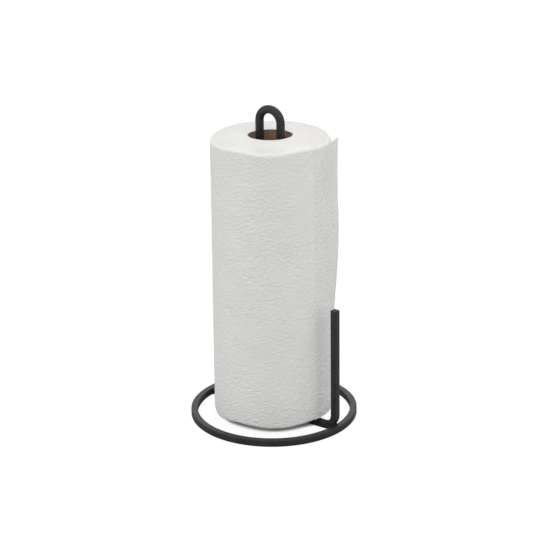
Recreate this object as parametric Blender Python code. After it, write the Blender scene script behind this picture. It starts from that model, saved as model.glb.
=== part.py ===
"""Countertop paper towel holder with a full roll on it.

A flat ring of square bar is crossed by one bent square bar, which turns up at
one end into a guide arm. A hairpin of round rod stands on the cross bar and
carries the roll. Metres, +Z up. The origin is the centre of the ring on the
counter, and +X runs along the cross bar towards the arm.
"""

import math

import bmesh
import bpy
from mathutils import Matrix, Vector

# roll of towels on its cardboard core
SHEET_WIDTH = 0.278
ROLL_DIAMETER = 0.1182
ROLL_TAPER = 0.003  # the roll is this much narrower across its upper end
ROLL_EDGE_RADIUS = 0.003
ROLL_SHIFT = 0.005  # the inner turns have slid this far up past the outer ones
CORE_BORE_DIAMETER = 0.0426
CORE_WALL = 0.0013
CORE_RECESS = 0.0024

# square bar of the ring and of the cross bar, which turns up into the guide arm
BAR_WIDTH = 0.0067
BAR_EDGE_RADIUS = 0.0007
ARM_HEIGHT = 0.1268
ARM_BEND_INNER_RADIUS = 0.0098
ARM_TO_ROLL = 0.0132  # clear space between a full roll and the arm

# hairpin post of round rod
ROD_DIAMETER = 0.0082
POST_TO_CORE = 0.0046  # play between the hairpin and the core's bore
LOOP_ABOVE_ROLL = 0.0284

# loose end of the outer sheet, which leaves the roll in a straight line
SHEET_THICKNESS = 0.0008
SHEET_LEAVES_AT = math.radians(11.5)  # from +X, at the top edge
SHEET_HUG_ANGLE = math.radians(14)
SHEET_TO_ARM = 0.0066  # room left inside the arm as the roll turns
LOOSE_LENGTH_LOW = 0.015  # straight length at the lower edge
FLARE_FROM = 0.03  # the straight length grows between these heights
FLARE_TO = 0.21

# fillet welds
WELD_LEG = 0.0018
WELD_ARC = math.radians(60)  # part of a leg's foot that one bead follows

GAP = 0.0003  # between pieces that touch

RING_STEPS = 96
ROLL_STEPS = 96
ROD_SIDES = 20
ARCH_STEPS = 24
BEND_STEPS = 10
CORNER_STEPS = 3
RIM_STEPS = 4
SHEET_ROWS = 24
HUG_STEPS = 6
STRAIGHT_STEPS = 3

# the arm stands outside the roll, and the ring just touches the back of its bend
ROLL_BASE = BAR_WIDTH + GAP
ROLL_RIM = ROLL_BASE + SHEET_WIDTH
ROLL_TOP = ROLL_RIM + ROLL_SHIFT
ARM_INNER_FACE = ROLL_DIAMETER / 2 + ARM_TO_ROLL
BEND_OUTER_RADIUS = ARM_BEND_INNER_RADIUS + BAR_WIDTH
BEND_START = ARM_INNER_FACE - ARM_BEND_INNER_RADIUS
RING_INNER_RADIUS = BEND_START + math.sqrt((BEND_OUTER_RADIUS + GAP) ** 2 - ARM_BEND_INNER_RADIUS ** 2)

ROD_RADIUS = ROD_DIAMETER / 2
LEG_OFFSET = CORE_BORE_DIAMETER / 2 - POST_TO_CORE - ROD_RADIUS
POST_HEIGHT = ROLL_TOP + LOOP_ABOVE_ROLL


def makeMaterial(name, colour, roughness, metallic=0.0):
    material = bpy.data.materials.new(name)
    material.use_nodes = True
    shader = material.node_tree.nodes["Principled BSDF"]
    shader.inputs["Base Color"].default_value = (*colour, 1.0)
    shader.inputs["Roughness"].default_value = roughness
    shader.inputs["Metallic"].default_value = metallic
    material.diffuse_color = (*colour, 1.0)
    return material


def addObject(name, bm, material, parent=None):
    bmesh.ops.remove_doubles(bm, verts=bm.verts, dist=1e-6)
    bmesh.ops.recalc_face_normals(bm, faces=bm.faces)
    mesh = bpy.data.meshes.new(name)
    bm.to_mesh(mesh)
    bm.free()
    mesh.shade_smooth()
    mesh.set_sharp_from_angle(angle=math.radians(35))
    mesh.materials.append(material)
    piece = bpy.data.objects.new(name, mesh)
    bpy.context.collection.objects.link(piece)
    piece.parent = parent
    return piece


def addAxis(name, parent=None):
    """Empty on the roll's axis, for what lifts or turns about it."""
    axis = bpy.data.objects.new(name, None)
    bpy.context.collection.objects.link(axis)
    axis.parent = parent
    return axis


def roundedRectangle(left, right, low, high, radius):
    """Closed outline of a rectangle with rounded corners, as (across, up) pairs."""
    corners = [
        (right - radius, low + radius, -90),
        (right - radius, high - radius, 0),
        (left + radius, high - radius, 90),
        (left + radius, low + radius, 180),
    ]
    outline = []
    for across, up, start in corners:
        outline += arcPoints(across, up, radius, start, CORNER_STEPS)
    return outline


def arcPoints(across, up, radius, start, steps):
    """Quarter circle from a start angle in degrees, as (across, up) pairs."""
    points = []
    for step in range(steps + 1):
        angle = math.radians(start + 90 * step / steps)
        points.append((across + radius * math.cos(angle), up + radius * math.sin(angle)))
    return points


def turnProfile(outline, steps, centre=(0.0, 0.0), start=0.0, sweep=2 * math.pi):
    """Turn a closed (radius, height) outline about the vertical line through centre."""
    bm = bmesh.new()
    pivot = Vector((*centre, 0.0))
    first = Matrix.Rotation(start, 4, "Z")
    verts = [bm.verts.new(pivot + first @ Vector((radius, 0, up))) for radius, up in outline]
    fullTurn = sweep == 2 * math.pi
    if fullTurn:
        section = [bm.edges.new(pair) for pair in zip(verts, verts[1:] + verts[:1])]
    else:
        section = [bm.faces.new(verts)]
    bmesh.ops.spin(bm, geom=section, cent=pivot, axis=(0, 0, 1), angle=sweep, steps=steps,
                   use_merge=fullTurn)
    return bm


def dropInnerFace(bm, face):
    """Delete a face that sides have grown from on both sides; an end cap stays."""
    if all(len(edge.link_faces) > 2 for edge in face.edges):
        bmesh.ops.delete(bm, geom=[face], context="FACES_ONLY")


def extrudeFace(bm, face, offset):
    """Push a face along offset and return the face at the far end."""
    grown = bmesh.ops.extrude_face_region(bm, geom=[face])
    moved = [item for item in grown["geom"] if isinstance(item, bmesh.types.BMVert)]
    bmesh.ops.translate(bm, verts=moved, vec=offset)
    dropInnerFace(bm, face)
    return next(item for item in grown["geom"] if isinstance(item, bmesh.types.BMFace))


def turnFace(bm, face, centre, axis, angle, steps):
    """Sweep a face round a bend and return the face at the far end."""
    swept = bmesh.ops.spin(bm, geom=[face], cent=centre, axis=axis, angle=angle, steps=steps)
    dropInnerFace(bm, face)
    return next(item for item in swept["geom_last"] if isinstance(item, bmesh.types.BMFace))


def extrudeOutline(points, offset):
    """Solid from a flat outline of 3D points, pushed along offset."""
    bm = bmesh.new()
    base = bm.faces.new([bm.verts.new(point) for point in points])
    extrudeFace(bm, base, offset)
    return bm


def insideRing(across):
    """Distance along the bar to just inside the ring, at a distance across it."""
    radius = RING_INNER_RADIUS * math.cos(math.pi / RING_STEPS) - GAP
    return math.sqrt(radius ** 2 - across ** 2)


def buildRing(material):
    outer = RING_INNER_RADIUS + BAR_WIDTH
    outline = roundedRectangle(RING_INNER_RADIUS, outer, 0, BAR_WIDTH, BAR_EDGE_RADIUS)
    addObject("base_ring", turnProfile(outline, RING_STEPS), material)


def buildCrossBar(material):
    """One bar: across the whole ring, round the bend, and up as the guide arm."""
    half = BAR_WIDTH / 2
    farEnd = -insideRing(half)
    outline = roundedRectangle(-half, half, 0, BAR_WIDTH, BAR_EDGE_RADIUS)
    bm = bmesh.new()
    cap = bm.faces.new([bm.verts.new((farEnd, across, up)) for across, up in outline])
    flat = extrudeFace(bm, cap, (BEND_START - farEnd, 0, 0))
    bendCentre = (BEND_START, 0, BEND_OUTER_RADIUS)
    upright = turnFace(bm, flat, bendCentre, (0, -1, 0), math.pi / 2, BEND_STEPS)
    extrudeFace(bm, upright, (0, 0, ARM_HEIGHT - BEND_OUTER_RADIUS))
    addObject("cross_bar_and_arm", bm, material)


def buildPost(material):
    """Hairpin: up one leg, over the arch and down the other."""
    foot = BAR_WIDTH + GAP
    archCentre = POST_HEIGHT - ROD_RADIUS - LEG_OFFSET
    bm = bmesh.new()
    place = Matrix.Translation((-LEG_OFFSET, 0, foot))
    bmesh.ops.create_circle(bm, cap_ends=True, segments=ROD_SIDES, radius=ROD_RADIUS, matrix=place)
    bm.faces.ensure_lookup_table()
    leg = extrudeFace(bm, bm.faces[0], (0, 0, archCentre - foot))
    arch = turnFace(bm, leg, (0, 0, archCentre), (0, 1, 0), math.pi, ARCH_STEPS)
    extrudeFace(bm, arch, (0, 0, foot - archCentre))
    addObject("loop_post", bm, material)


def buildArmWeld(material):
    """Wedge of weld under the bend, against the inside of the ring."""
    half = BAR_WIDTH * 0.4
    low = BAR_WIDTH * 0.4
    high = BAR_WIDTH * 0.85
    steps = 6
    points = []
    for step in range(steps + 1):
        up = low + (high - low) * step / steps
        reach = math.sqrt((BEND_OUTER_RADIUS + GAP) ** 2 - (BEND_OUTER_RADIUS - up) ** 2)
        points.append((BEND_START + reach, -half, up))
    points += [(insideRing(half), -half, high), (insideRing(half), -half, low)]
    addObject("arm_weld", extrudeOutline(points, (0, 2 * half, 0)), material)


def buildFarWelds(material):
    """Fillet beads in the two corners between the bar's far end and the ring."""
    barFace = BAR_WIDTH / 2 + GAP
    low = BAR_WIDTH * 0.15
    steps = 3
    for name, side in (("far_weld_left", 1), ("far_weld_right", -1)):
        points = []
        for step in range(steps + 1):
            across = barFace + WELD_LEG * step / steps
            points.append((-insideRing(across), side * across, low))
        points.append((WELD_LEG - insideRing(barFace), side * barFace, low))
        addObject(name, extrudeOutline(points, (0, 0, BAR_WIDTH * 0.7)), material)


def buildLegWelds(material):
    """Two fillet beads at the foot of each leg, fore and aft along the bar."""
    inner = ROD_RADIUS + GAP
    base = BAR_WIDTH + GAP
    outline = [(inner, base), (inner + WELD_LEG, base), (inner, base + WELD_LEG)]
    for leg, along in (("arm_side", 1), ("far_side", -1)):
        centre = (along * LEG_OFFSET, 0)
        for place, facing in (("outer", along), ("inner", -along)):
            start = (0 if facing > 0 else math.pi) - WELD_ARC / 2
            bead = turnProfile(outline, 8, centre, start, WELD_ARC)
            addObject(f"post_weld_{leg}_{place}", bead, material)


def rollRadius(height):
    """The roll is wound a little looser at its lower end."""
    share = (height - ROLL_BASE) / SHEET_WIDTH
    return (ROLL_DIAMETER - ROLL_TAPER * share) / 2


def buildCore(material, axis):
    inner = CORE_BORE_DIAMETER / 2
    outer = inner + CORE_WALL
    top = ROLL_TOP - CORE_RECESS
    base = top - SHEET_WIDTH
    outline = [(inner, base), (outer, base), (outer, top), (inner, top)]
    addObject("cardboard_core", turnProfile(outline, ROLL_STEPS), material, axis)


def slideCurve(outer, bore, height):
    """Ends of the turns from the rim in to the bore, as (radius, height) pairs."""
    steps = 3
    points = []
    for step in range(1, steps + 1):
        share = step / steps
        rise = ROLL_SHIFT * math.sin(share * math.pi / 2)
        points.append((outer + (bore - outer) * share, height + rise))
    return points


def buildPaper(material, axis):
    """Wound paper with soft edges, whose inner turns have slid up a little."""
    bore = CORE_BORE_DIAMETER / 2 + CORE_WALL + GAP
    radius = ROLL_EDGE_RADIUS
    lowAcross = rollRadius(ROLL_BASE) - radius
    highAcross = rollRadius(ROLL_RIM) - radius
    outline = slideCurve(lowAcross, bore, ROLL_BASE)[::-1]
    outline += arcPoints(lowAcross, ROLL_BASE + radius, radius, -90, RIM_STEPS)
    outline += arcPoints(highAcross, ROLL_RIM - radius, radius, 0, RIM_STEPS)
    outline += slideCurve(highAcross, bore, ROLL_RIM)
    addObject("paper_roll", turnProfile(outline, ROLL_STEPS), material, axis)


def sheetInner(height):
    """Radius at which the loose sheet lies on the roll's facets."""
    return rollRadius(height) / math.cos(math.pi / ROLL_STEPS) + GAP


def looseLength(height):
    """Straight length of the loose sheet at a height: it hugs the roll lower down."""
    reach = ARM_INNER_FACE - SHEET_TO_ARM
    longest = math.sqrt(reach ** 2 - sheetInner(ROLL_RIM) ** 2)
    share = min(max((height - FLARE_FROM) / (FLARE_TO - FLARE_FROM), 0.0), 1.0)
    eased = share * share * (3 - 2 * share)
    return LOOSE_LENGTH_LOW + (longest - LOOSE_LENGTH_LOW) * eased


def sheetOutline(height):
    """Plan of the loose sheet at one height: round the roll, then straight off it."""
    inner = sheetInner(height)
    straight = looseLength(height)
    start = SHEET_LEAVES_AT - SHEET_HUG_ANGLE
    hug = SHEET_HUG_ANGLE + (looseLength(ROLL_RIM) - straight) / inner
    near = []
    for step in range(HUG_STEPS + 1):
        angle = start + hug * step / HUG_STEPS
        near.append((Vector((math.cos(angle), math.sin(angle))), 0.0))
    outward = near[-1][0]
    along = Vector((-outward.y, outward.x))
    for step in range(1, STRAIGHT_STEPS + 1):
        near.append((outward, straight * step / STRAIGHT_STEPS))
    inside = [out * inner + along * run for out, run in near]
    outside = [out * (inner + SHEET_THICKNESS) + along * run for out, run in near]
    return inside + outside[::-1]


def buildLooseSheet(material, axis):
    bm = bmesh.new()
    low = ROLL_BASE + ROLL_EDGE_RADIUS
    rows = []
    for row in range(SHEET_ROWS + 1):
        height = low + (ROLL_RIM - low) * row / SHEET_ROWS
        rows.append([bm.verts.new((*point, height)) for point in sheetOutline(height)])
    loops = [[bm.edges.new(pair) for pair in zip(row, row[1:] + row[:1])] for row in rows]
    for lower, upper in zip(loops, loops[1:]):
        bmesh.ops.bridge_loops(bm, edges=lower + upper)
    bm.faces.new(rows[0])
    bm.faces.new(rows[-1])
    addObject("loose_sheet", bm, material, axis)


def main():
    for leftover in list(bpy.data.objects):
        bpy.data.objects.remove(leftover, do_unlink=True)

    blackSteel = makeMaterial("black_powder_coat", (0.033, 0.032, 0.033), 0.5, 0.3)
    cardboard = makeMaterial("brown_cardboard", (0.24, 0.15, 0.10), 0.9)
    paper = makeMaterial("towel_paper", (0.80, 0.79, 0.77), 0.9)

    buildRing(blackSteel)
    buildCrossBar(blackSteel)
    buildPost(blackSteel)
    buildArmWeld(blackSteel)
    buildFarWelds(blackSteel)
    buildLegWelds(blackSteel)

    liftAxis = addAxis("roll_lift_axis")
    spinAxis = addAxis("roll_spin_axis", liftAxis)
    buildCore(cardboard, liftAxis)
    buildPaper(paper, spinAxis)
    buildLooseSheet(paper, spinAxis)


main()
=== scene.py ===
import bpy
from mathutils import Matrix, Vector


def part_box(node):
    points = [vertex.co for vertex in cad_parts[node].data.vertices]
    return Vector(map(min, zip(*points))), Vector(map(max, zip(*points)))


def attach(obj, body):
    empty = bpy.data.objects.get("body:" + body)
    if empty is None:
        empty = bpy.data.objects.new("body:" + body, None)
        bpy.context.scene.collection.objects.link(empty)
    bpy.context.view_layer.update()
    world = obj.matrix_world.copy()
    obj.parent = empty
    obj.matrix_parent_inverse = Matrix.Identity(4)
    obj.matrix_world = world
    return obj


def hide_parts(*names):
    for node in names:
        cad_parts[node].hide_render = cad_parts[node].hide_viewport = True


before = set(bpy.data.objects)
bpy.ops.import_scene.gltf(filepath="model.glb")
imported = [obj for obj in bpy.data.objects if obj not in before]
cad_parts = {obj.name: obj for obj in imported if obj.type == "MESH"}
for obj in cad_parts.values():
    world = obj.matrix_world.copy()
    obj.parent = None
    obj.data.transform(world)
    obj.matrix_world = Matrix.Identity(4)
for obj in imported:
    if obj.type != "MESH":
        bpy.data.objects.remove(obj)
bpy.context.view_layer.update()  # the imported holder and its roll, in metres, z up

import math
import random

import bmesh
import bpy
import numpy as np
from mathutils import Matrix, Vector

random.seed(11)
scene = bpy.context.scene
scene.view_settings.view_transform = "Standard"
scene.view_settings.look = "None"


# sizes that every piece is built around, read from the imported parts
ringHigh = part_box("base_ring")[1]
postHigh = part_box("loop_post")[1]
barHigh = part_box("cross_bar_and_arm")[1]
coreLow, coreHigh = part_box("cardboard_core")
rollLow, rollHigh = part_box("paper_roll")
sheetLow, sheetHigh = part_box("loose_sheet")

barWidth = ringHigh.z
ringOuter = ringHigh.x
ringInner = ringOuter - barWidth
rodRadius = postHigh.y
legOffset = postHigh.x - rodRadius
armCentre = barHigh.x - barWidth / 2
rollRim = sheetHigh.z  # top of the outer turns


# mesh helpers

def eased(value, start=0.0, end=1.0):  # 0 before start, 1 after end, smooth between
    share = np.clip((value - start) / (end - start), 0, 1)
    return share * share * (3 - 2 * share)


def gridFaces(rows, columns, wrapRows=False, wrapColumns=False):
    faces = []
    for row in range(rows if wrapRows else rows - 1):
        here = row * columns
        above = (row + 1) % rows * columns
        for column in range(columns if wrapColumns else columns - 1):
            after = (column + 1) % columns
            faces.append((here + column, here + after, above + after, above + column))
    return faces


def addPiece(name, points, faces, material, body, replaced, sharpDegrees=50):
    mesh = bpy.data.meshes.new(name)
    mesh.from_pydata([tuple(point) for point in points], [], faces)
    bm = bmesh.new()
    bm.from_mesh(mesh)
    bmesh.ops.recalc_face_normals(bm, faces=bm.faces)
    bm.to_mesh(mesh)
    bm.free()
    mesh.shade_smooth()
    mesh.set_sharp_from_angle(angle=math.radians(sharpDegrees))
    mesh.materials.append(material)
    piece = bpy.data.objects.new(name, mesh)
    scene.collection.objects.link(piece)
    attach(piece, body)
    if replaced:
        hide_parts(*replaced)
    return piece


def turnRows(profile, steps):  # closed outline of (radius, height) turned right round
    angles = np.arange(steps) * 2 * math.pi / steps
    points = []
    for radius, height in profile:
        for angle in angles:
            points.append((radius * math.cos(angle), radius * math.sin(angle), height))
    return points, gridFaces(len(profile), steps, True, True)


def roundedSquare(width, radius, cornerSteps):
    half = width / 2 - radius
    outline = []
    for across, up, start in ((half, half, 0), (-half, half, 90), (-half, -half, 180), (half, -half, 270)):
        for step in range(cornerSteps + 1):
            angle = math.radians(start + 90 * step / cornerSteps)
            outline.append((across + radius * math.cos(angle), up + radius * math.sin(angle)))
    return outline


def sweepSection(stations, section, half, endRound, shape=None):
    # each station is (centre, tangent, across, up); both ends get a rounded edge
    first, last = stations[0], stations[-1]
    rings = []
    for step in (3, 2, 1):
        angle = math.radians(30 * step)
        inset = 1 - endRound * (1 - math.cos(angle)) / half
        rings.append((first[0] - first[1] * endRound * math.sin(angle), first[2] * inset, first[3] * inset))
    rings += [(centre, across, up) for centre, tangent, across, up in stations]
    for step in (1, 2, 3):
        angle = math.radians(30 * step)
        inset = 1 - endRound * (1 - math.cos(angle)) / half
        rings.append((last[0] + last[1] * endRound * math.sin(angle), last[2] * inset, last[3] * inset))
    points = []
    for number, (centre, across, up) in enumerate(rings):
        for a, b in section:
            wide = shape(number - 3, b) if shape else 1.0
            points.append(centre + across * a * wide + up * b)
    count = len(section)
    faces = gridFaces(len(rings), count, False, True)
    faces.append(tuple(range(count))[::-1])
    faces.append(tuple(range(len(points) - count, len(points))))
    return points, faces


# material helpers

def newMaterial(name, colour, roughness):
    material = bpy.data.materials.new(name)
    material.use_nodes = True
    shader = material.node_tree.nodes["Principled BSDF"]
    shader.inputs["Base Color"].default_value = (*colour, 1)
    shader.inputs["Roughness"].default_value = roughness
    return material, material.node_tree, shader


def addNode(tree, kind, inputs=None, **settings):
    node = tree.nodes.new(kind)
    for key, value in settings.items():
        setattr(node, key, value)
    for key, value in (inputs or {}).items():
        if isinstance(value, bpy.types.NodeSocket):
            tree.links.new(value, node.inputs[key])
        else:
            node.inputs[key].default_value = value
    return node


def addNoise(tree, place, scale, detail=3.0, roughness=0.55):
    node = addNode(tree, "ShaderNodeTexNoise",
                   {"Vector": place, "Scale": scale, "Detail": detail, "Roughness": roughness})
    return node.outputs["Fac"]


def addRamp(tree, value, stops):  # stops are (position, colour)
    node = addNode(tree, "ShaderNodeValToRGB", {"Fac": value})
    ramp = node.color_ramp
    while len(ramp.elements) < len(stops):
        ramp.elements.new(1.0)
    for element, (position, colour) in zip(ramp.elements, stops):
        element.position = position
        element.color = (*colour, 1)
    return node.outputs["Color"]


def addMath(tree, operation, first, second=None, third=None):
    inputs = {0: first}
    if second is not None:
        inputs[1] = second
    if third is not None:
        inputs[2] = third
    return addNode(tree, "ShaderNodeMath", inputs, operation=operation).outputs[0]


def addBump(tree, height, distance, strength=1.0, under=None):
    inputs = {"Height": height, "Distance": distance, "Strength": strength}
    if under is not None:
        inputs["Normal"] = under
    return addNode(tree, "ShaderNodeBump", inputs).outputs["Normal"]


# finishes

powder = {
    "dark": (0.018, 0.018, 0.019),
    "light": (0.028, 0.028, 0.029),
    "edge": (0.06, 0.06, 0.06),
    "roughness": (0.40, 0.52),
    "specular": 0.36,
    "peelScale": 1500.0,  # orange peel, about two grains to the millimetre
    "peelDepth": 0.00004,
}

def powderCoat():
    material, tree, shader = newMaterial("satin black powder coat", powder["dark"], 0.55)
    place = addNode(tree, "ShaderNodeTexCoord").outputs["Object"]
    mottle = addNoise(tree, place, 90.0, 4.0)
    body = addRamp(tree, mottle, [(0.35, powder["dark"]), (0.65, powder["light"])])
    # the coat pulls thin over the corners of the bar
    corner = addNode(tree, "ShaderNodeNewGeometry").outputs["Pointiness"]
    thin = addRamp(tree, corner, [(0.53, (0, 0, 0)), (0.62, (1, 1, 1))])
    rubbed = addMath(tree, "MULTIPLY", thin, addNoise(tree, place, 220.0))
    colour = addNode(tree, "ShaderNodeMix", {0: rubbed, 6: body, 7: (*powder["edge"], 1)},
                     data_type="RGBA").outputs[2]
    tree.links.new(colour, shader.inputs["Base Color"])
    low, high = powder["roughness"]
    rough = addNode(tree, "ShaderNodeMapRange", {0: addNoise(tree, place, 400.0), 3: low, 4: high})
    tree.links.new(rough.outputs[0], shader.inputs["Roughness"])
    shader.inputs["Specular IOR Level"].default_value = powder["specular"]
    peel = addNoise(tree, place, powder["peelScale"], 2.0)
    tree.links.new(addBump(tree, peel, powder["peelDepth"]), shader.inputs["Normal"])
    return material


paper = {
    "white": (0.90, 0.893, 0.872),
    "shade": (0.868, 0.858, 0.832),
    # painted shade for the upper rim, darker than the white paper
    "rim": (0.83, 0.82, 0.795),
    "cloudScale": 38.0,
    "fibreScale": 1400.0,
    "fibreDepth": 0.00007,
    "subsurface": 0.12,
    "layerPitch": 0.00042,  # one turn of towel across the ends
    "dimpleSize": (0.0046, 0.0027),
    "dimpleLean": 0.45,
    "dimpleDepth": 0.00047,
    "looseDimpleDepth": 0.00085,
    "rimFrom": (-0.0005, 0.0010),  # heights over the rim where its painted shade comes in
    "rimTo": (0.0024, 0.0042),  # and where it has gone
    "turnDepth": 0.00012,
    "turnDrift": 0.0012,
    # painted shade in the gaps between the cut turns
    "turnGapShade": (0.93, 0.93, 0.925),
}

def paperFinish(name, dimpleDepth=0.0, rimShade=True, turnedEnds=False):
    material, tree, shader = newMaterial(name, paper["white"], 0.92)
    place = addNode(tree, "ShaderNodeTexCoord").outputs["Object"]
    cloud = addNoise(tree, place, paper["cloudScale"], 4.0)
    colour = addRamp(tree, cloud, [(0.3, paper["shade"]), (0.62, paper["white"])])
    fibre = addNoise(tree, place, paper["fibreScale"], 5.0, 0.7)
    normal = addBump(tree, fibre, paper["fibreDepth"], 0.8)
    parts = addNode(tree, "ShaderNodeSeparateXYZ", {0: place})
    if dimpleDepth:
        # small dimples between the big pressed ones
        around = addMath(tree, "ARCTAN2", parts.outputs[1], parts.outputs[0])
        wide, high = paper["dimpleSize"]
        across = addMath(tree, "MULTIPLY", around, rollHigh.x / wide)
        climb = addMath(tree, "MULTIPLY", parts.outputs[2], 1 / high)
        leaned = addMath(tree, "MULTIPLY_ADD", across, -paper["dimpleLean"], climb)
        unrolled = addNode(tree, "ShaderNodeCombineXYZ", {0: across, 1: leaned})
        cells = addNode(tree, "ShaderNodeTexVoronoi", {"Vector": unrolled.outputs[0], "Scale": 1.0,
                        "Smoothness": 0.5, "Randomness": 0.85}, voronoi_dimensions="2D", feature="SMOOTH_F1")
        patch = addNode(tree, "ShaderNodeMapRange", {0: addNoise(tree, place, 34.0, 2.0), 1: 0.35, 2: 0.6,
                                                     3: 0.45, 4: 1.0})
        pressed = addMath(tree, "MULTIPLY", cells.outputs["Distance"], patch.outputs[0])
        normal = addBump(tree, pressed, dimpleDepth, 1.0, normal)
    if rimShade:
        # painted shade along the upper rim, where the sheets part a little and shade each other
        low, high = paper["rimFrom"]
        nearRim = addNode(tree, "ShaderNodeMapRange",
                          {0: parts.outputs[2], 1: rollRim + low, 2: rollRim + high})
        low, high = paper["rimTo"]
        pastRim = addNode(tree, "ShaderNodeMapRange",
                          {0: parts.outputs[2], 1: rollRim + low, 2: rollRim + high, 3: 1.0, 4: 0.0})
        rim = addMath(tree, "MULTIPLY", nearRim.outputs[0], pastRim.outputs[0])
        colour = addNode(tree, "ShaderNodeMix", {0: rim, 6: colour, 7: (*paper["rim"], 1)},
                         data_type="RGBA").outputs[2]
    if turnedEnds:
        # the cut edges of the turns, with painted shade as a fine dark ring in the gap between one and the
        # next
        flat = addNode(tree, "ShaderNodeCombineXYZ", {0: parts.outputs[0], 1: parts.outputs[1]})
        radius = addNode(tree, "ShaderNodeVectorMath", {0: flat.outputs[0]}, operation="LENGTH")
        uneven = addMath(tree, "MULTIPLY", addNoise(tree, place, 60.0), paper["turnDrift"])
        across = addMath(tree, "ADD", radius.outputs["Value"], uneven)
        phase = addMath(tree, "MULTIPLY", across, 2 * math.pi / paper["layerPitch"])
        turns = addMath(tree, "SINE", phase)
        depth = addMath(tree, "MULTIPLY", turns, addNoise(tree, place, 25.0))
        normal = addBump(tree, depth, paper["turnDepth"], 0.7, normal)
        gapShade = addRamp(tree, turns, [(0.0, paper["turnGapShade"]), (0.6, (1, 1, 1))])
        colour = addNode(tree, "ShaderNodeMix", {0: 1.0, 6: colour, 7: gapShade},
                         data_type="RGBA", blend_type="MULTIPLY").outputs[2]
    tree.links.new(colour, shader.inputs["Base Color"])
    tree.links.new(normal, shader.inputs["Normal"])
    shader.inputs["Specular IOR Level"].default_value = 0.15
    shader.inputs["Subsurface Weight"].default_value = paper["subsurface"]
    shader.inputs["Subsurface Radius"].default_value = (0.003, 0.003, 0.0027)
    shader.inputs["Subsurface Scale"].default_value = 1.0
    return material


board = {
    "brown": (0.34, 0.225, 0.15),
    "dark": (0.23, 0.145, 0.095),
    "flecks": (0.42, 0.30, 0.21),
    "seamPitch": 0.112,  # rise of the wound ply in one turn
    "seamDark": (0.14, 0.085, 0.055),
}

def cardboardFinish():
    material, tree, shader = newMaterial("brown tube board", board["brown"], 0.85)
    place = addNode(tree, "ShaderNodeTexCoord").outputs["Object"]
    stretched = addNode(tree, "ShaderNodeMapping", {0: place, 3: (1.0, 1.0, 0.35)}).outputs[0]
    grain = addNoise(tree, stretched, 420.0, 6.0, 0.65)
    colour = addRamp(tree, grain, [(0.3, board["dark"]), (0.52, board["brown"]), (0.75, board["flecks"])])
    split = addNode(tree, "ShaderNodeSeparateXYZ", {0: place})
    angle = addMath(tree, "ARCTAN2", split.outputs[1], split.outputs[0])
    turn = addMath(tree, "MULTIPLY", angle, 1 / (2 * math.pi))
    rise = addMath(tree, "MULTIPLY", split.outputs[2], 1 / board["seamPitch"])
    helix = addMath(tree, "FRACT", addMath(tree, "ADD", addMath(tree, "SUBTRACT", rise, turn), 8.0))
    fromSeam = addMath(tree, "ABSOLUTE", addMath(tree, "SUBTRACT", helix, 0.5))
    seam = addRamp(tree, fromSeam, [(0.0, (1, 1, 1)), (0.012, (0, 0, 0))])
    colour = addNode(tree, "ShaderNodeMix", {0: seam, 6: colour, 7: (*board["seamDark"], 1)},
                     data_type="RGBA").outputs[2]
    tree.links.new(colour, shader.inputs["Base Color"])
    fine = addBump(tree, grain, 0.00012, 0.8)
    tree.links.new(fine, shader.inputs["Normal"])
    shader.inputs["Specular IOR Level"].default_value = 0.2
    return material


blackCoat = powderCoat()
sidePaper = paperFinish("embossed towel", paper["dimpleDepth"])
endPaper = paperFinish("cut ends of the turns", turnedEnds=True)
loosePaper = paperFinish("loose towel", paper["looseDimpleDepth"], rimShade=False)
tubeBoard = cardboardFinish()
print("finishes mixed")


# base ring, a square bar rolled to a circle

ring = {"steps": 320, "cornerRadius": 0.0009, "cornerSteps": 5}

def buildRing():
    centreRadius = (ringInner + ringOuter) / 2
    section = roundedSquare(barWidth, ring["cornerRadius"], ring["cornerSteps"])
    profile = [(centreRadius + across, barWidth / 2 + up) for across, up in section]
    points, faces = turnRows(profile, ring["steps"])
    return addPiece("baseRing", points, faces, blackCoat, "holder", ["base_ring"])


# cross bar that turns up into the guide arm

arm = {
    "bendRadius": 0.01315,  # to the middle of the bar
    "bendSteps": 28,
    "straightSteps": 40,
    "cornerRadius": 0.0008,
    "cornerSteps": 5,
    "endRound": 0.0006,
    "pinch": 0.05,  # the bar spreads inside the bend and draws in outside it
    "intoRing": 0.0008,
}

def buildCrossBarAndArm():
    half = barWidth / 2
    side = Vector((0, 1, 0))
    start = Vector((-(ringInner + arm["intoRing"]), 0, half))
    bendAt = armCentre - arm["bendRadius"]
    stations = []
    straight = arm["straightSteps"]
    for step in range(straight):
        centre = start.lerp(Vector((bendAt, 0, half)), step / straight)
        stations.append((centre, Vector((1, 0, 0)), side, Vector((0, 0, 1))))
    bendFrom = len(stations)
    for step in range(arm["bendSteps"] + 1):
        angle = math.radians(90 * step / arm["bendSteps"])
        centre = Vector((bendAt + arm["bendRadius"] * math.sin(angle), 0,
                         half + arm["bendRadius"] * (1 - math.cos(angle))))
        tangent = Vector((math.cos(angle), 0, math.sin(angle)))
        stations.append((centre, tangent, side, Vector((-math.sin(angle), 0, math.cos(angle)))))
    bendTo = len(stations)
    top = Vector((armCentre, 0, barHigh.z - arm["endRound"]))
    foot = stations[-1][0]
    for step in range(1, straight + 1):
        stations.append((foot.lerp(top, step / straight), Vector((0, 0, 1)), side, Vector((-1, 0, 0))))

    def spread(number, up):
        share = (number - bendFrom) / (bendTo - bendFrom)
        bent = math.sin(math.pi * min(max(share, 0), 1)) ** 2
        return 1 + arm["pinch"] * bent * up / half

    section = roundedSquare(barWidth, arm["cornerRadius"], arm["cornerSteps"])
    points, faces = sweepSection(stations, section, half, arm["endRound"], spread)
    return addPiece("crossBarAndArm", points, faces, blackCoat, "holder",
                    ["cross_bar_and_arm"])


# hairpin of round rod that carries the roll

hairpin = {"sides": 36, "archSteps": 64, "legSteps": 60, "intoBar": 0.0006, "archFlat": 0.03,
           "endRound": 0.0003}

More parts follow.
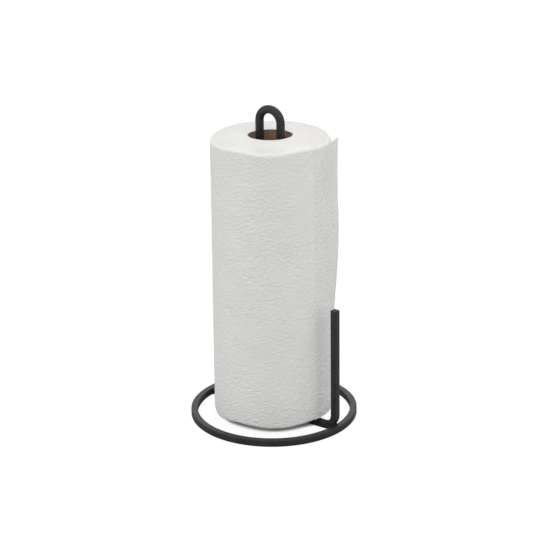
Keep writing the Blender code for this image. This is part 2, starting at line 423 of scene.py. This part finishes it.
def buildHairpin():
    archHeight = postHigh.z - rodRadius - legOffset
    foot = barWidth - hairpin["intoBar"]
    stations = []
    for step in range(hairpin["legSteps"]):
        z = foot + (archHeight - foot) * step / hairpin["legSteps"]
        stations.append((Vector((legOffset, 0, z)), Vector((0, 0, 1)), Vector((0, 1, 0)), Vector((-1, 0, 0))))
    for step in range(hairpin["archSteps"] + 1):
        angle = math.pi * step / hairpin["archSteps"]
        outward = Vector((math.cos(angle), 0, math.sin(angle)))
        tangent = Vector((-math.sin(angle), 0, math.cos(angle)))
        bent = math.sin(angle)
        # the rod flattens a little where it is bent
        stations.append((outward * legOffset + Vector((0, 0, archHeight)), tangent,
                         Vector((0, 1 + hairpin["archFlat"] * bent, 0)),
                         -outward * (1 - hairpin["archFlat"] * bent * 0.5)))
    for step in range(hairpin["legSteps"]):
        z = archHeight + (foot - archHeight) * (step + 1) / hairpin["legSteps"]
        stations.append((Vector((-legOffset, 0, z)), Vector((0, 0, -1)), Vector((0, 1, 0)),
                         Vector((1, 0, 0))))
    section = []
    for side in range(hairpin["sides"]):
        angle = 2 * math.pi * side / hairpin["sides"]
        section.append((rodRadius * math.cos(angle), rodRadius * math.sin(angle)))
    points, faces = sweepSection(stations, section, rodRadius, hairpin["endRound"])
    return addPiece("hairpinPost", points, faces, blackCoat, "holder", ["loop_post"])


# weld beads, small runs of ripples under the coat

bead = {
    "radius": 0.00155,
    "armRadius": 0.0022,
    "ripplePitch": 0.0011,
    "rippleDepth": 0.16,
    "uneven": 0.05,
    "arc": 76,  # degrees that a bead follows round the foot of a leg
    "offLeg": 0.0003,
    "offBar": 0.0002,
    "farPast": (0.0004, 0.0008),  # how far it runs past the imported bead, down and up
    "armPast": 0.0009,
    "sides": 14,
    "stepsPerRipple": 6,
}

def buildBead(name, path, radius, node):
    length = sum((b - a).length for a, b in zip(path, path[1:]))
    steps = max(16, int(length / bead["ripplePitch"] * bead["stepsPerRipple"]))
    runs = np.cumsum([0.0] + [(b - a).length for a, b in zip(path, path[1:])])
    points = []
    for step in range(steps + 1):
        along = length * step / steps
        centre = Vector([float(np.interp(along, runs, [p[axis] for p in path])) for axis in range(3)])
        ahead = Vector([float(np.interp(min(along + 1e-4, length), runs, [p[axis] for p in path]))
                        for axis in range(3)])
        behind = Vector([float(np.interp(max(along - 1e-4, 0), runs, [p[axis] for p in path]))
                         for axis in range(3)])
        tangent = (ahead - behind).normalized()
        across = tangent.orthogonal().normalized()
        up = tangent.cross(across)
        phase = (along / bead["ripplePitch"]) % 1.0
        ripple = 1 - bead["rippleDepth"] * phase ** 2
        reach = min(along, length - along) / radius
        roundEnd = math.sqrt(max(1 - (1 - min(reach, 1)) ** 2, 0.0004))
        size = radius * ripple * roundEnd * (1 + bead["uneven"] * (random.random() - 0.5))
        for side in range(bead["sides"]):
            angle = 2 * math.pi * side / bead["sides"]
            points.append(centre + (across * math.cos(angle) + up * math.sin(angle)) * size)
    count = bead["sides"]
    faces = gridFaces(steps + 1, count, False, True)
    faces.append(tuple(range(count))[::-1])
    faces.append(tuple(range(len(points) - count, len(points))))
    return addPiece(name, points, faces, blackCoat, "holder", [node], 60)


def buildWelds():
    made = []
    # four short arcs round the feet of the hairpin
    for node in sorted(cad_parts):
        if not node.startswith("post_weld"):
            continue
        low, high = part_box(node)
        middle = (low + high) / 2
        legSide = 1 if middle.x > 0 else -1
        facing = 1 if middle.x * legSide > legOffset else -1
        path = []
        for step in range(13):
            angle = math.radians(-bead["arc"] / 2 + bead["arc"] * step / 12)
            reach = rodRadius + bead["offLeg"]
            path.append(Vector((legSide * (legOffset + facing * reach * math.cos(angle)),
                                reach * math.sin(angle), barWidth + bead["offBar"])))
        made.append(buildBead(node.replace("post_weld", "postBead"), path, bead["radius"], node))
    # the far end of the cross bar, up each side against the ring
    down, over = bead["farPast"]
    for node, side in (("far_weld_left", 1), ("far_weld_right", -1)):
        low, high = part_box(node)
        x = -(ringInner - 0.0002)
        y = side * (barWidth / 2 + 0.0001)
        path = [Vector((x, y, low.z - down)), Vector((x, y, high.z + over))]
        made.append(buildBead(node.replace("far_weld", "farBead"), path, bead["radius"], node))
    # the hollow between the bend of the arm and the ring
    low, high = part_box("arm_weld")
    x = ringInner - 0.0004
    z = high.z - 0.0009
    start = low.y - bead["armPast"]
    length = high.y - low.y + 2 * bead["armPast"]
    path = [Vector((x, start + length * step / 8, z)) for step in range(9)]
    made.append(buildBead("armBead", path, bead["armRadius"], "arm_weld"))
    return made


# cardboard core

core = {
    "steps": 180,
    "rows": 70,
    "wall": 0.0013,
    "edgeFray": 0.00025,
    "edgeRound": 0.0002,
    "seamDepth": 0.00012,
    "seamWidth": 0.0011,
    "rise": 0.0002,
}

def buildCore():
    outer = coreHigh.x
    inner = outer - core["wall"]
    angles = np.arange(core["steps"]) * 2 * math.pi / core["steps"]
    fray = np.zeros(core["steps"])
    for waves in range(3, 40, 3):
        fray += math.cos(waves) * np.sin(waves * angles + random.random() * 6.28) / 5
    heights = np.linspace(coreLow.z, coreHigh.z + core["rise"], core["rows"])
    rows = []
    for wall in (outer, inner):
        for z in (heights if wall == outer else heights[::-1]):
            turn = z / board["seamPitch"] - angles / (2 * math.pi)
            fromSeam = np.abs((turn + 8) % 1 - 0.5) * 2 * math.pi * outer * 0.64
            groove = core["seamDepth"] * np.exp(-(fromSeam / core["seamWidth"]) ** 2)
            radius = wall - groove if wall == outer else wall + groove
            level = np.full(core["steps"], z)
            if z == heights[-1]:
                level = z + core["edgeFray"] * fray - core["edgeRound"]
                radius = radius + (-core["edgeRound"] if wall == outer else core["edgeRound"])
            rows.append(np.stack([radius * np.cos(angles), radius * np.sin(angles), level], axis=1))
    points = np.concatenate(rows)
    faces = gridFaces(len(rows), core["steps"], True, True)
    return addPiece("cardboardCore", points, faces, tubeBoard, "core",
                    ["cardboard_core"], 40)


# embossing, shared by the roll's side and its loose end

emboss = {
    "bandsAround": 46,  # ladders of dimples in one turn, climbing to the right
    "bandLean": 0.70,  # how far a ladder moves round for each metre it climbs
    "rungPitch": 0.0036,
    "dashHalf": 0.0019,
    "dashSquare": 2.4,  # 2 for a round hollow, more for one with blunter ends
    "rungHalf": 0.00090,
    "rowsHeld": 97,  # rows before the random draws come round again
    "depth": 0.00046,
    "slope": 0.22,
    "slopeSpread": 0.5,
    "jitterAround": 0.0012,
    "jitterUp": 0.0007,
    "fieldRise": 0.034,
    "pillow": 0.00010,
    "wave": 0.00012,
}

lowRadius = rollHigh.x
taper = 0.0015  # the roll draws in this much towards its upper end
edgeRadius = 0.003
nominalRadius = lowRadius - taper / 2
dashTable = np.array([[[random.random() for column in range(emboss["bandsAround"])]
                       for row in range(emboss["rowsHeld"])] for use in range(4)])
wavePhases = [random.random() * 2 * math.pi for number in range(8)]


def embossHeight(turn, z):  # turn is the share of a full turn, z the height, both arrays
    turn, z = np.broadcast_arrays(turn, z)
    up = z - rollLow.z
    fieldUp = up / emboss["fieldRise"]
    half = emboss["bandsAround"] // 2
    rising = 0.5 + 0.5 * np.cos(2 * math.pi * (turn * 15 - fieldUp * 0.8))
    falling = 0.5 + 0.5 * np.cos(2 * math.pi * (turn * 12 + fieldUp))
    drift = np.sin(2 * math.pi * (5 * turn + 9 * up)) + np.sin(2 * math.pi * (3 * turn - 14 * up))
    drift = 0.5 + 0.25 * drift
    pressed = 0.35 + 0.65 * eased(0.30 * rising + 0.25 * falling + 0.45 * drift, 0.25, 0.7)
    lift = emboss["pillow"] * (rising - 0.5)
    bandWidth = 2 * math.pi * nominalRadius / half
    for family in (0, 1):
        level = up / emboss["rungPitch"] - 0.5 * family
        for rowStep in (0, 1):
            row = np.floor(level) + rowStep
            lean = row * emboss["rungPitch"] * emboss["bandLean"] / bandWidth
            around = turn * half - lean - 0.5 * family
            column = np.round(around)
            pick = (row.astype(int) % emboss["rowsHeld"],
                    (2 * column.astype(int) + family) % emboss["bandsAround"])
            strength, sideways, upward, tilt = (dashTable[use][pick] for use in range(4))
            offAround = (around - column) * bandWidth + emboss["jitterAround"] * (sideways - 0.5) * 2
            offUp = (level - row) * emboss["rungPitch"] + emboss["jitterUp"] * (upward - 0.5) * 2
            offUp = offUp - offAround * (emboss["slope"] + emboss["slopeSpread"] * (tilt - 0.5))
            fall = (np.abs(offAround) / emboss["dashHalf"]) ** emboss["dashSquare"]
            fall = fall + (offUp / emboss["rungHalf"]) ** 2
            lift = lift - emboss["depth"] * np.exp(-fall) * (0.25 + 1.1 * strength) * pressed
    swell = np.zeros(turn.shape)
    for number, phase in enumerate(wavePhases):
        waves = number + 2
        swell = swell + np.sin(2 * math.pi * waves * turn + z * (14 + 11 * number) + phase) / waves
    return lift + emboss["wave"] * swell


def sideRadius(z):
    return lowRadius - taper * (z - rollLow.z) / (rollRim - rollLow.z)


# wound turns: cut ends that have slid up towards the core

wound = {
    "steps": 224,
    "ringPitch": 0.00036,
    "shift": 0.005,
    "layerLift": 0.00022,
    "coarsePitch": 0.0021,
    "finePitch": 0.00055,
    "turnsHeld": 400,
    "bore": 0.0229,
    "lipRadius": 0.0212,
    "lipLift": 0.0005,
    "lowSide": 127.5,  # degrees round to where the middle of the end dips
    "lowDrop": 0.0020,
    "dipsWithin": 0.042,
    "slipsBeyond": 0.036,
}
layerTable = np.array([random.random() for number in range(wound["turnsHeld"])])


def endRise(radius, outer):
    share = np.clip((outer - radius) / (outer - wound["bore"]), 0, 1)
    return wound["shift"] * np.sin(share * math.pi / 2)


slip = {  # how far the outer turns have moved up, and where: degrees round, width, metres
    "above": (0.0019, [(-86, 20, 0.0017), (-20, 20, 0.0017)]),
    "below": (0.0002, [(-118, 16, -0.0026), (-86, 20, 0.0017), (-20, 18, 0.0010), (12, 28, 0.0024)]),
}


def outerSlip(angles, end):
    everywhere, swells = slip[end]
    rise = np.full(np.shape(angles), everywhere)
    for place, width, swell in swells:
        off = (np.degrees(angles) - place + 180) % 360 - 180
        rise = rise + swell * np.exp(-(off / width) ** 2)
    return rise


def layerLift(radius, angles):
    winding = radius - paper["layerPitch"] * angles / (2 * math.pi)
    number = np.arange(wound["turnsHeld"])
    coarse = np.interp(winding / wound["coarsePitch"], number, layerTable)
    fine = np.interp(winding / wound["finePitch"], number, layerTable[::-1])
    calm = 0.6 + 0.4 * np.sin(3 * angles + radius * 400)
    return wound["layerLift"] * (1.5 * coarse + 0.7 * fine - 1.1) * calm


def buildWoundTurns():
    angles = np.arange(wound["steps"]) * 2 * math.pi / wound["steps"]
    rows = []

    def addRow(radius, z):
        radius = np.broadcast_to(radius, angles.shape)
        z = np.broadcast_to(z, angles.shape)
        rows.append(np.stack([radius * np.cos(angles), radius * np.sin(angles), z], axis=1))

    lowOuter, highOuter = lowRadius - edgeRadius, lowRadius - taper - edgeRadius
    below, above = outerSlip(angles, "below"), outerSlip(angles, "above")
    # the turns next to the core have slid up less on one side
    low = wound["lowDrop"] * (0.5 + 0.5 * np.cos(angles - math.radians(wound["lowSide"]))) ** 1.5
    for radius in np.arange(wound["bore"], lowOuter, wound["ringPitch"]):
        out = eased(radius, wound["slipsBeyond"], lowOuter)
        addRow(radius, rollLow.z + endRise(radius, lowOuter) + layerLift(radius, angles) + below * out)
    addRow(lowOuter - 0.0001, rollLow.z + 0.004)
    addRow(highOuter - 0.0001, rollRim - 0.004)
    for radius in np.arange(highOuter, wound["bore"], -wound["ringPitch"]):
        out = eased(radius, wound["slipsBeyond"], highOuter)
        near = 1 - eased(radius, wound["bore"], wound["dipsWithin"])
        top = rollRim + endRise(radius, highOuter) + layerLift(radius, angles)
        addRow(radius, top + above * out - low * near)
    lip = wound["lipRadius"] + 0.0003 * np.sin(2 * angles + 0.6) + 0.00012 * np.sin(9 * angles)
    addRow((wound["bore"] + lip) / 2, rollHigh.z + wound["lipLift"] - low)
    addRow(lip, rollHigh.z + wound["lipLift"] - 0.0004 - low)
    addRow(lip + 0.0001, coreHigh.z + core["rise"] + 0.0004)
    addRow(wound["bore"], coreHigh.z + core["rise"] + 0.0003)
    points = np.concatenate(rows)
    faces = gridFaces(len(rows), wound["steps"], True, True)
    return addPiece("woundTurns", points, faces, endPaper, "roll", [], 60)


# outer turn of towel, embossed, with soft rims

outerTurn = {
    "steps": 240,
    "rows": 380,
    "rimSteps": 8,
    "wall": 0.0008,
    "rimRuffle": 0.00012,
    "slipsUnder": 0.03,  # the slip is all gone above this height
    "slipsOver": 0.25,  # and comes in again above this one
}

def buildOuterTurn():
    steps = outerTurn["steps"]
    turn = np.arange(steps) / steps
    angles = turn * 2 * math.pi
    profile = []  # radius, height, outward part, upward part, strength of the embossing
    lowOuter, highOuter = lowRadius - edgeRadius, lowRadius - taper - edgeRadius
    innerLow = lowOuter - outerTurn["wall"]
    innerHigh = highOuter - outerTurn["wall"]
    profile.append((innerLow, rollLow.z + float(endRise(innerLow, lowOuter)) - 0.0001, 0, -1, 0))
    rim = outerTurn["rimSteps"]
    for step in range(rim + 1):
        angle = math.radians(-90 + 90 * step / rim)
        profile.append((lowOuter + edgeRadius * math.cos(angle),
                        rollLow.z + edgeRadius + edgeRadius * math.sin(angle),
                        math.cos(angle), math.sin(angle), (step / rim) ** 2))
    for z in np.linspace(rollLow.z + edgeRadius, rollRim - edgeRadius, outerTurn["rows"])[1:-1]:
        profile.append((float(sideRadius(z)), float(z), 1, 0, 1))
    for step in range(rim + 1):
        angle = math.radians(90 * step / rim)
        profile.append((highOuter + edgeRadius * math.cos(angle),
                        rollRim - edgeRadius + edgeRadius * math.sin(angle),
                        math.cos(angle), math.sin(angle), (1 - step / rim) ** 2))
    profile.append((innerHigh, rollRim + float(endRise(innerHigh, highOuter)) + 0.0001, 0, 1, 0))
    rows = []
    below, above = outerSlip(angles, "below"), outerSlip(angles, "above")
    for radius, z, outward, upward, strength in profile:
        lift = embossHeight(turn, np.full(steps, z)) * strength
        slipped = below * (1 - eased(z, rollLow.z + edgeRadius, outerTurn["slipsUnder"]))
        slipped = slipped + above * eased(z, outerTurn["slipsOver"], rollRim - edgeRadius)
        if strength < 1:
            lift = lift + outerTurn["rimRuffle"] * np.sin(17 * angles + z * 900) * (1 - strength)
        across = radius + lift * outward
        level = z + slipped + lift * upward
        rows.append(np.stack([across * np.cos(angles), across * np.sin(angles), level], axis=1))
    points = np.concatenate(rows)
    faces = gridFaces(len(rows), steps, True, True)
    return addPiece("outerTurn", points, faces, sidePaper, "roll", ["paper_roll"], 60)


# loose end of the outer towel

loose = {
    "thickness": 0.00045,
    "startAngle": math.radians(-10),
    "leavesAt": math.radians(11.5),  # at the top edge, from the side the arm is on
    "reach": 0.0657,  # from the middle of the roll to the free edge
    "lengthLow": 0.015,
    "flareFrom": 0.03,
    "flareTo": 0.21,
    "columns": 56,
    "rows": 340,
    "tooth": 0.0004,  # torn perforation along the free edge
    "toothPitch": 0.0046,
    "nibble": 0.00025,
    "nibblePitch": 0.0016,
    "nibbles": 200,
    "curl": 0.0010,
    "wave": 0.0007,
}


def looseStraight(z):  # how far the towel stands straight off the roll at this height
    top = sideRadius(rollRim)
    longest = math.sqrt(loose["reach"] ** 2 - top ** 2)
    flare = eased(z, loose["flareFrom"], loose["flareTo"])
    return loose["lengthLow"] + (longest - loose["lengthLow"]) * flare


def buildLooseSheet():
    heights = np.linspace(sheetLow.z, sheetHigh.z, loose["rows"])
    total = (loose["leavesAt"] - loose["startAngle"]) * sideRadius(rollRim) + looseStraight(rollRim)
    nibble = [random.random() for number in range(loose["nibbles"])]
    rows = []
    for z in heights:
        radius = float(sideRadius(z))
        straight = float(looseStraight(z))
        hug = total - straight
        tooth = abs((z / loose["toothPitch"]) % 1 - 0.5) * 2
        bitten = nibble[int(z / loose["nibblePitch"]) % loose["nibbles"]]
        edge = total - loose["tooth"] * (1 if tooth > 0.72 else 0) - loose["nibble"] * bitten
        along = edge * np.linspace(0, 1, loose["columns"]) ** 0.9
        angle = loose["startAngle"] + np.minimum(along, hug) / radius
        past = np.maximum(along - hug, 0)
        outwardX, outwardY = np.cos(angle), np.sin(angle)
        turn = (loose["startAngle"] + along / radius) / (2 * math.pi)
        pressed = embossHeight(turn, np.full(along.shape, z))
        share = past / straight
        bend = -loose["curl"] * share ** 2 + loose["wave"] * share * math.sin(z * 42 + 0.8)
        # it lies flush on the turn under it, so only its free part shows as a separate sheet
        lift = pressed + bend + 0.00004 - 0.00014 * (1 - eased(along, 0, 0.004))
        face = []
        for depth in (0.0, loose["thickness"]):
            across = radius + lift - depth
            x = across * outwardX - past * outwardY
            y = across * outwardY + past * outwardX
            face.append(np.stack([x, y, np.full(x.shape, z)], axis=1))
        rows.append(np.concatenate([face[0], face[1][::-1]]))
    points = np.concatenate(rows)
    count = 2 * loose["columns"]
    faces = gridFaces(len(rows), count, False, True)
    for base in (0, (len(rows) - 1) * count):
        for column in range(loose["columns"] - 1):
            back = base + count - 1 - column
            faces.append((base + column, base + column + 1, back - 1, back))
    sheet = addPiece("looseTowel", points, faces, loosePaper, "roll", ["loose_sheet"], 60)
    return sheet


buildRing()
buildCrossBarAndArm()
buildHairpin()
buildWelds()
print("metal bent and welded")
buildCore()
buildWoundTurns()
buildOuterTurn()
buildLooseSheet()
print("roll wound")


# table, light and camera

table = {
    "size": 30.0,
    "albedo": 0.45,
    "glow": 1.05,
    "shadowShare": 0.12,
    "contactReach": 0.06,
    "contactSamples": 96,
    # painted contact shadow, as (share of clear surroundings, brightness of the glow)
    "paintedContactShadow": [(0.07, 0.06), (0.10, 0.16), (0.125, 0.45), (0.15, 0.85), (0.19, 1.0)],
}

def buildTable():
    mesh = bpy.data.meshes.new("table")
    half = table["size"] / 2
    corners = [(-half, -half, 0), (half, -half, 0), (half, half, 0), (-half, half, 0)]
    mesh.from_pydata(corners, [], [(0, 1, 2, 3)])
    floor = bpy.data.objects.new("table", mesh)
    scene.collection.objects.link(floor)
    material, tree, shader = newMaterial("white sweep", (table["albedo"],) * 3, 1.0)
    shader.inputs["Specular IOR Level"].default_value = 0.0
    # glows an even white for the camera like a light table, with a painted contact shadow from ambient
    # occlusion darkening the glow where something stands on it
    near = addNode(tree, "ShaderNodeAmbientOcclusion", {"Distance": table["contactReach"]},
                   samples=table["contactSamples"])
    stops = [(clear, (left, left, left)) for clear, left in table["paintedContactShadow"]]
    paintedContactShadow = addRamp(tree, near.outputs["AO"], stops)
    glow = addNode(tree, "ShaderNodeEmission", {"Color": paintedContactShadow, "Strength": table["glow"]})
    white = addNode(tree, "ShaderNodeBsdfDiffuse", {"Color": (0.9, 0.9, 0.9, 1)})
    seen = addNode(tree, "ShaderNodeMixShader",
                   {0: table["shadowShare"], 1: glow.outputs[0], 2: white.outputs[0]})
    path = addNode(tree, "ShaderNodeLightPath")
    both = addNode(tree, "ShaderNodeMixShader",
                   {0: path.outputs["Is Camera Ray"], 1: shader.outputs[0], 2: seen.outputs[0]})
    tree.links.new(both.outputs[0], tree.nodes["Material Output"].inputs["Surface"])
    mesh.materials.append(material)


lamps = {
    "overhead": {"place": (0.0, 0.0, 1.8), "size": 1.6, "watts": 6.9},
    "left": {"place": (-1.09, -1.21, 0.8), "size": 1.4, "watts": 7.5},
    "front": {"place": (1.13, -1.15, 1.5), "size": 1.8, "watts": 10.6},
    "right": {"place": (1.45, 0.74, 0.7), "size": 2.2, "watts": 8.5},
    "back": {"place": (-0.97, 1.27, 1.3), "size": 1.6, "watts": 9.5},
}
lampAim = 0.15  # height that every lamp points at
sky = 0.48

def buildLight():
    world = bpy.data.worlds.new("studio")
    scene.world = world
    world.use_nodes = True
    background = world.node_tree.nodes["Background"]
    background.inputs["Color"].default_value = (1, 1, 1, 1)
    background.inputs["Strength"].default_value = sky
    for name, lamp in lamps.items():
        light = bpy.data.lights.new(name, "AREA")
        light.size = lamp["size"]
        light.energy = lamp["watts"]
        holder = bpy.data.objects.new(name, light)
        holder.location = lamp["place"]
        aim = Vector((0, 0, lampAim)) - holder.location
        holder.rotation_euler = aim.to_track_quat("-Z", "Y").to_euler()
        scene.collection.objects.link(holder)


camera = {
    "azimuth": 37.5,
    "elevation": 21.12,
    "distance": 1.957,
    "lens": 128.57,
    "lean": 0.72,
    "aimHeight": 0.1409,
    "aimSide": 0.0076,
}

def buildCamera():
    azimuth, elevation = math.radians(camera["azimuth"]), math.radians(camera["elevation"])
    back = Vector((math.sin(azimuth) * math.cos(elevation), -math.cos(azimuth) * math.cos(elevation),
                   math.sin(elevation)))
    right = Vector((math.cos(azimuth), math.sin(azimuth), 0))
    up = back.cross(right)
    aim = right * camera["aimSide"] + Vector((0, 0, camera["aimHeight"]))
    lean = math.radians(camera["lean"])
    across = right * math.cos(lean) - up * math.sin(lean)
    upward = right * math.sin(lean) + up * math.cos(lean)
    data = bpy.data.cameras.new("view")
    data.lens = camera["lens"]
    data.sensor_width = 36
    data.clip_end = 50
    eye = bpy.data.objects.new("view", data)
    place = Matrix((across, upward, back)).transposed().to_4x4()
    place.translation = aim + back * camera["distance"]
    eye.matrix_world = place
    scene.collection.objects.link(eye)
    scene.camera = eye


buildTable()
buildLight()
buildCamera()
print("table, light and camera set")
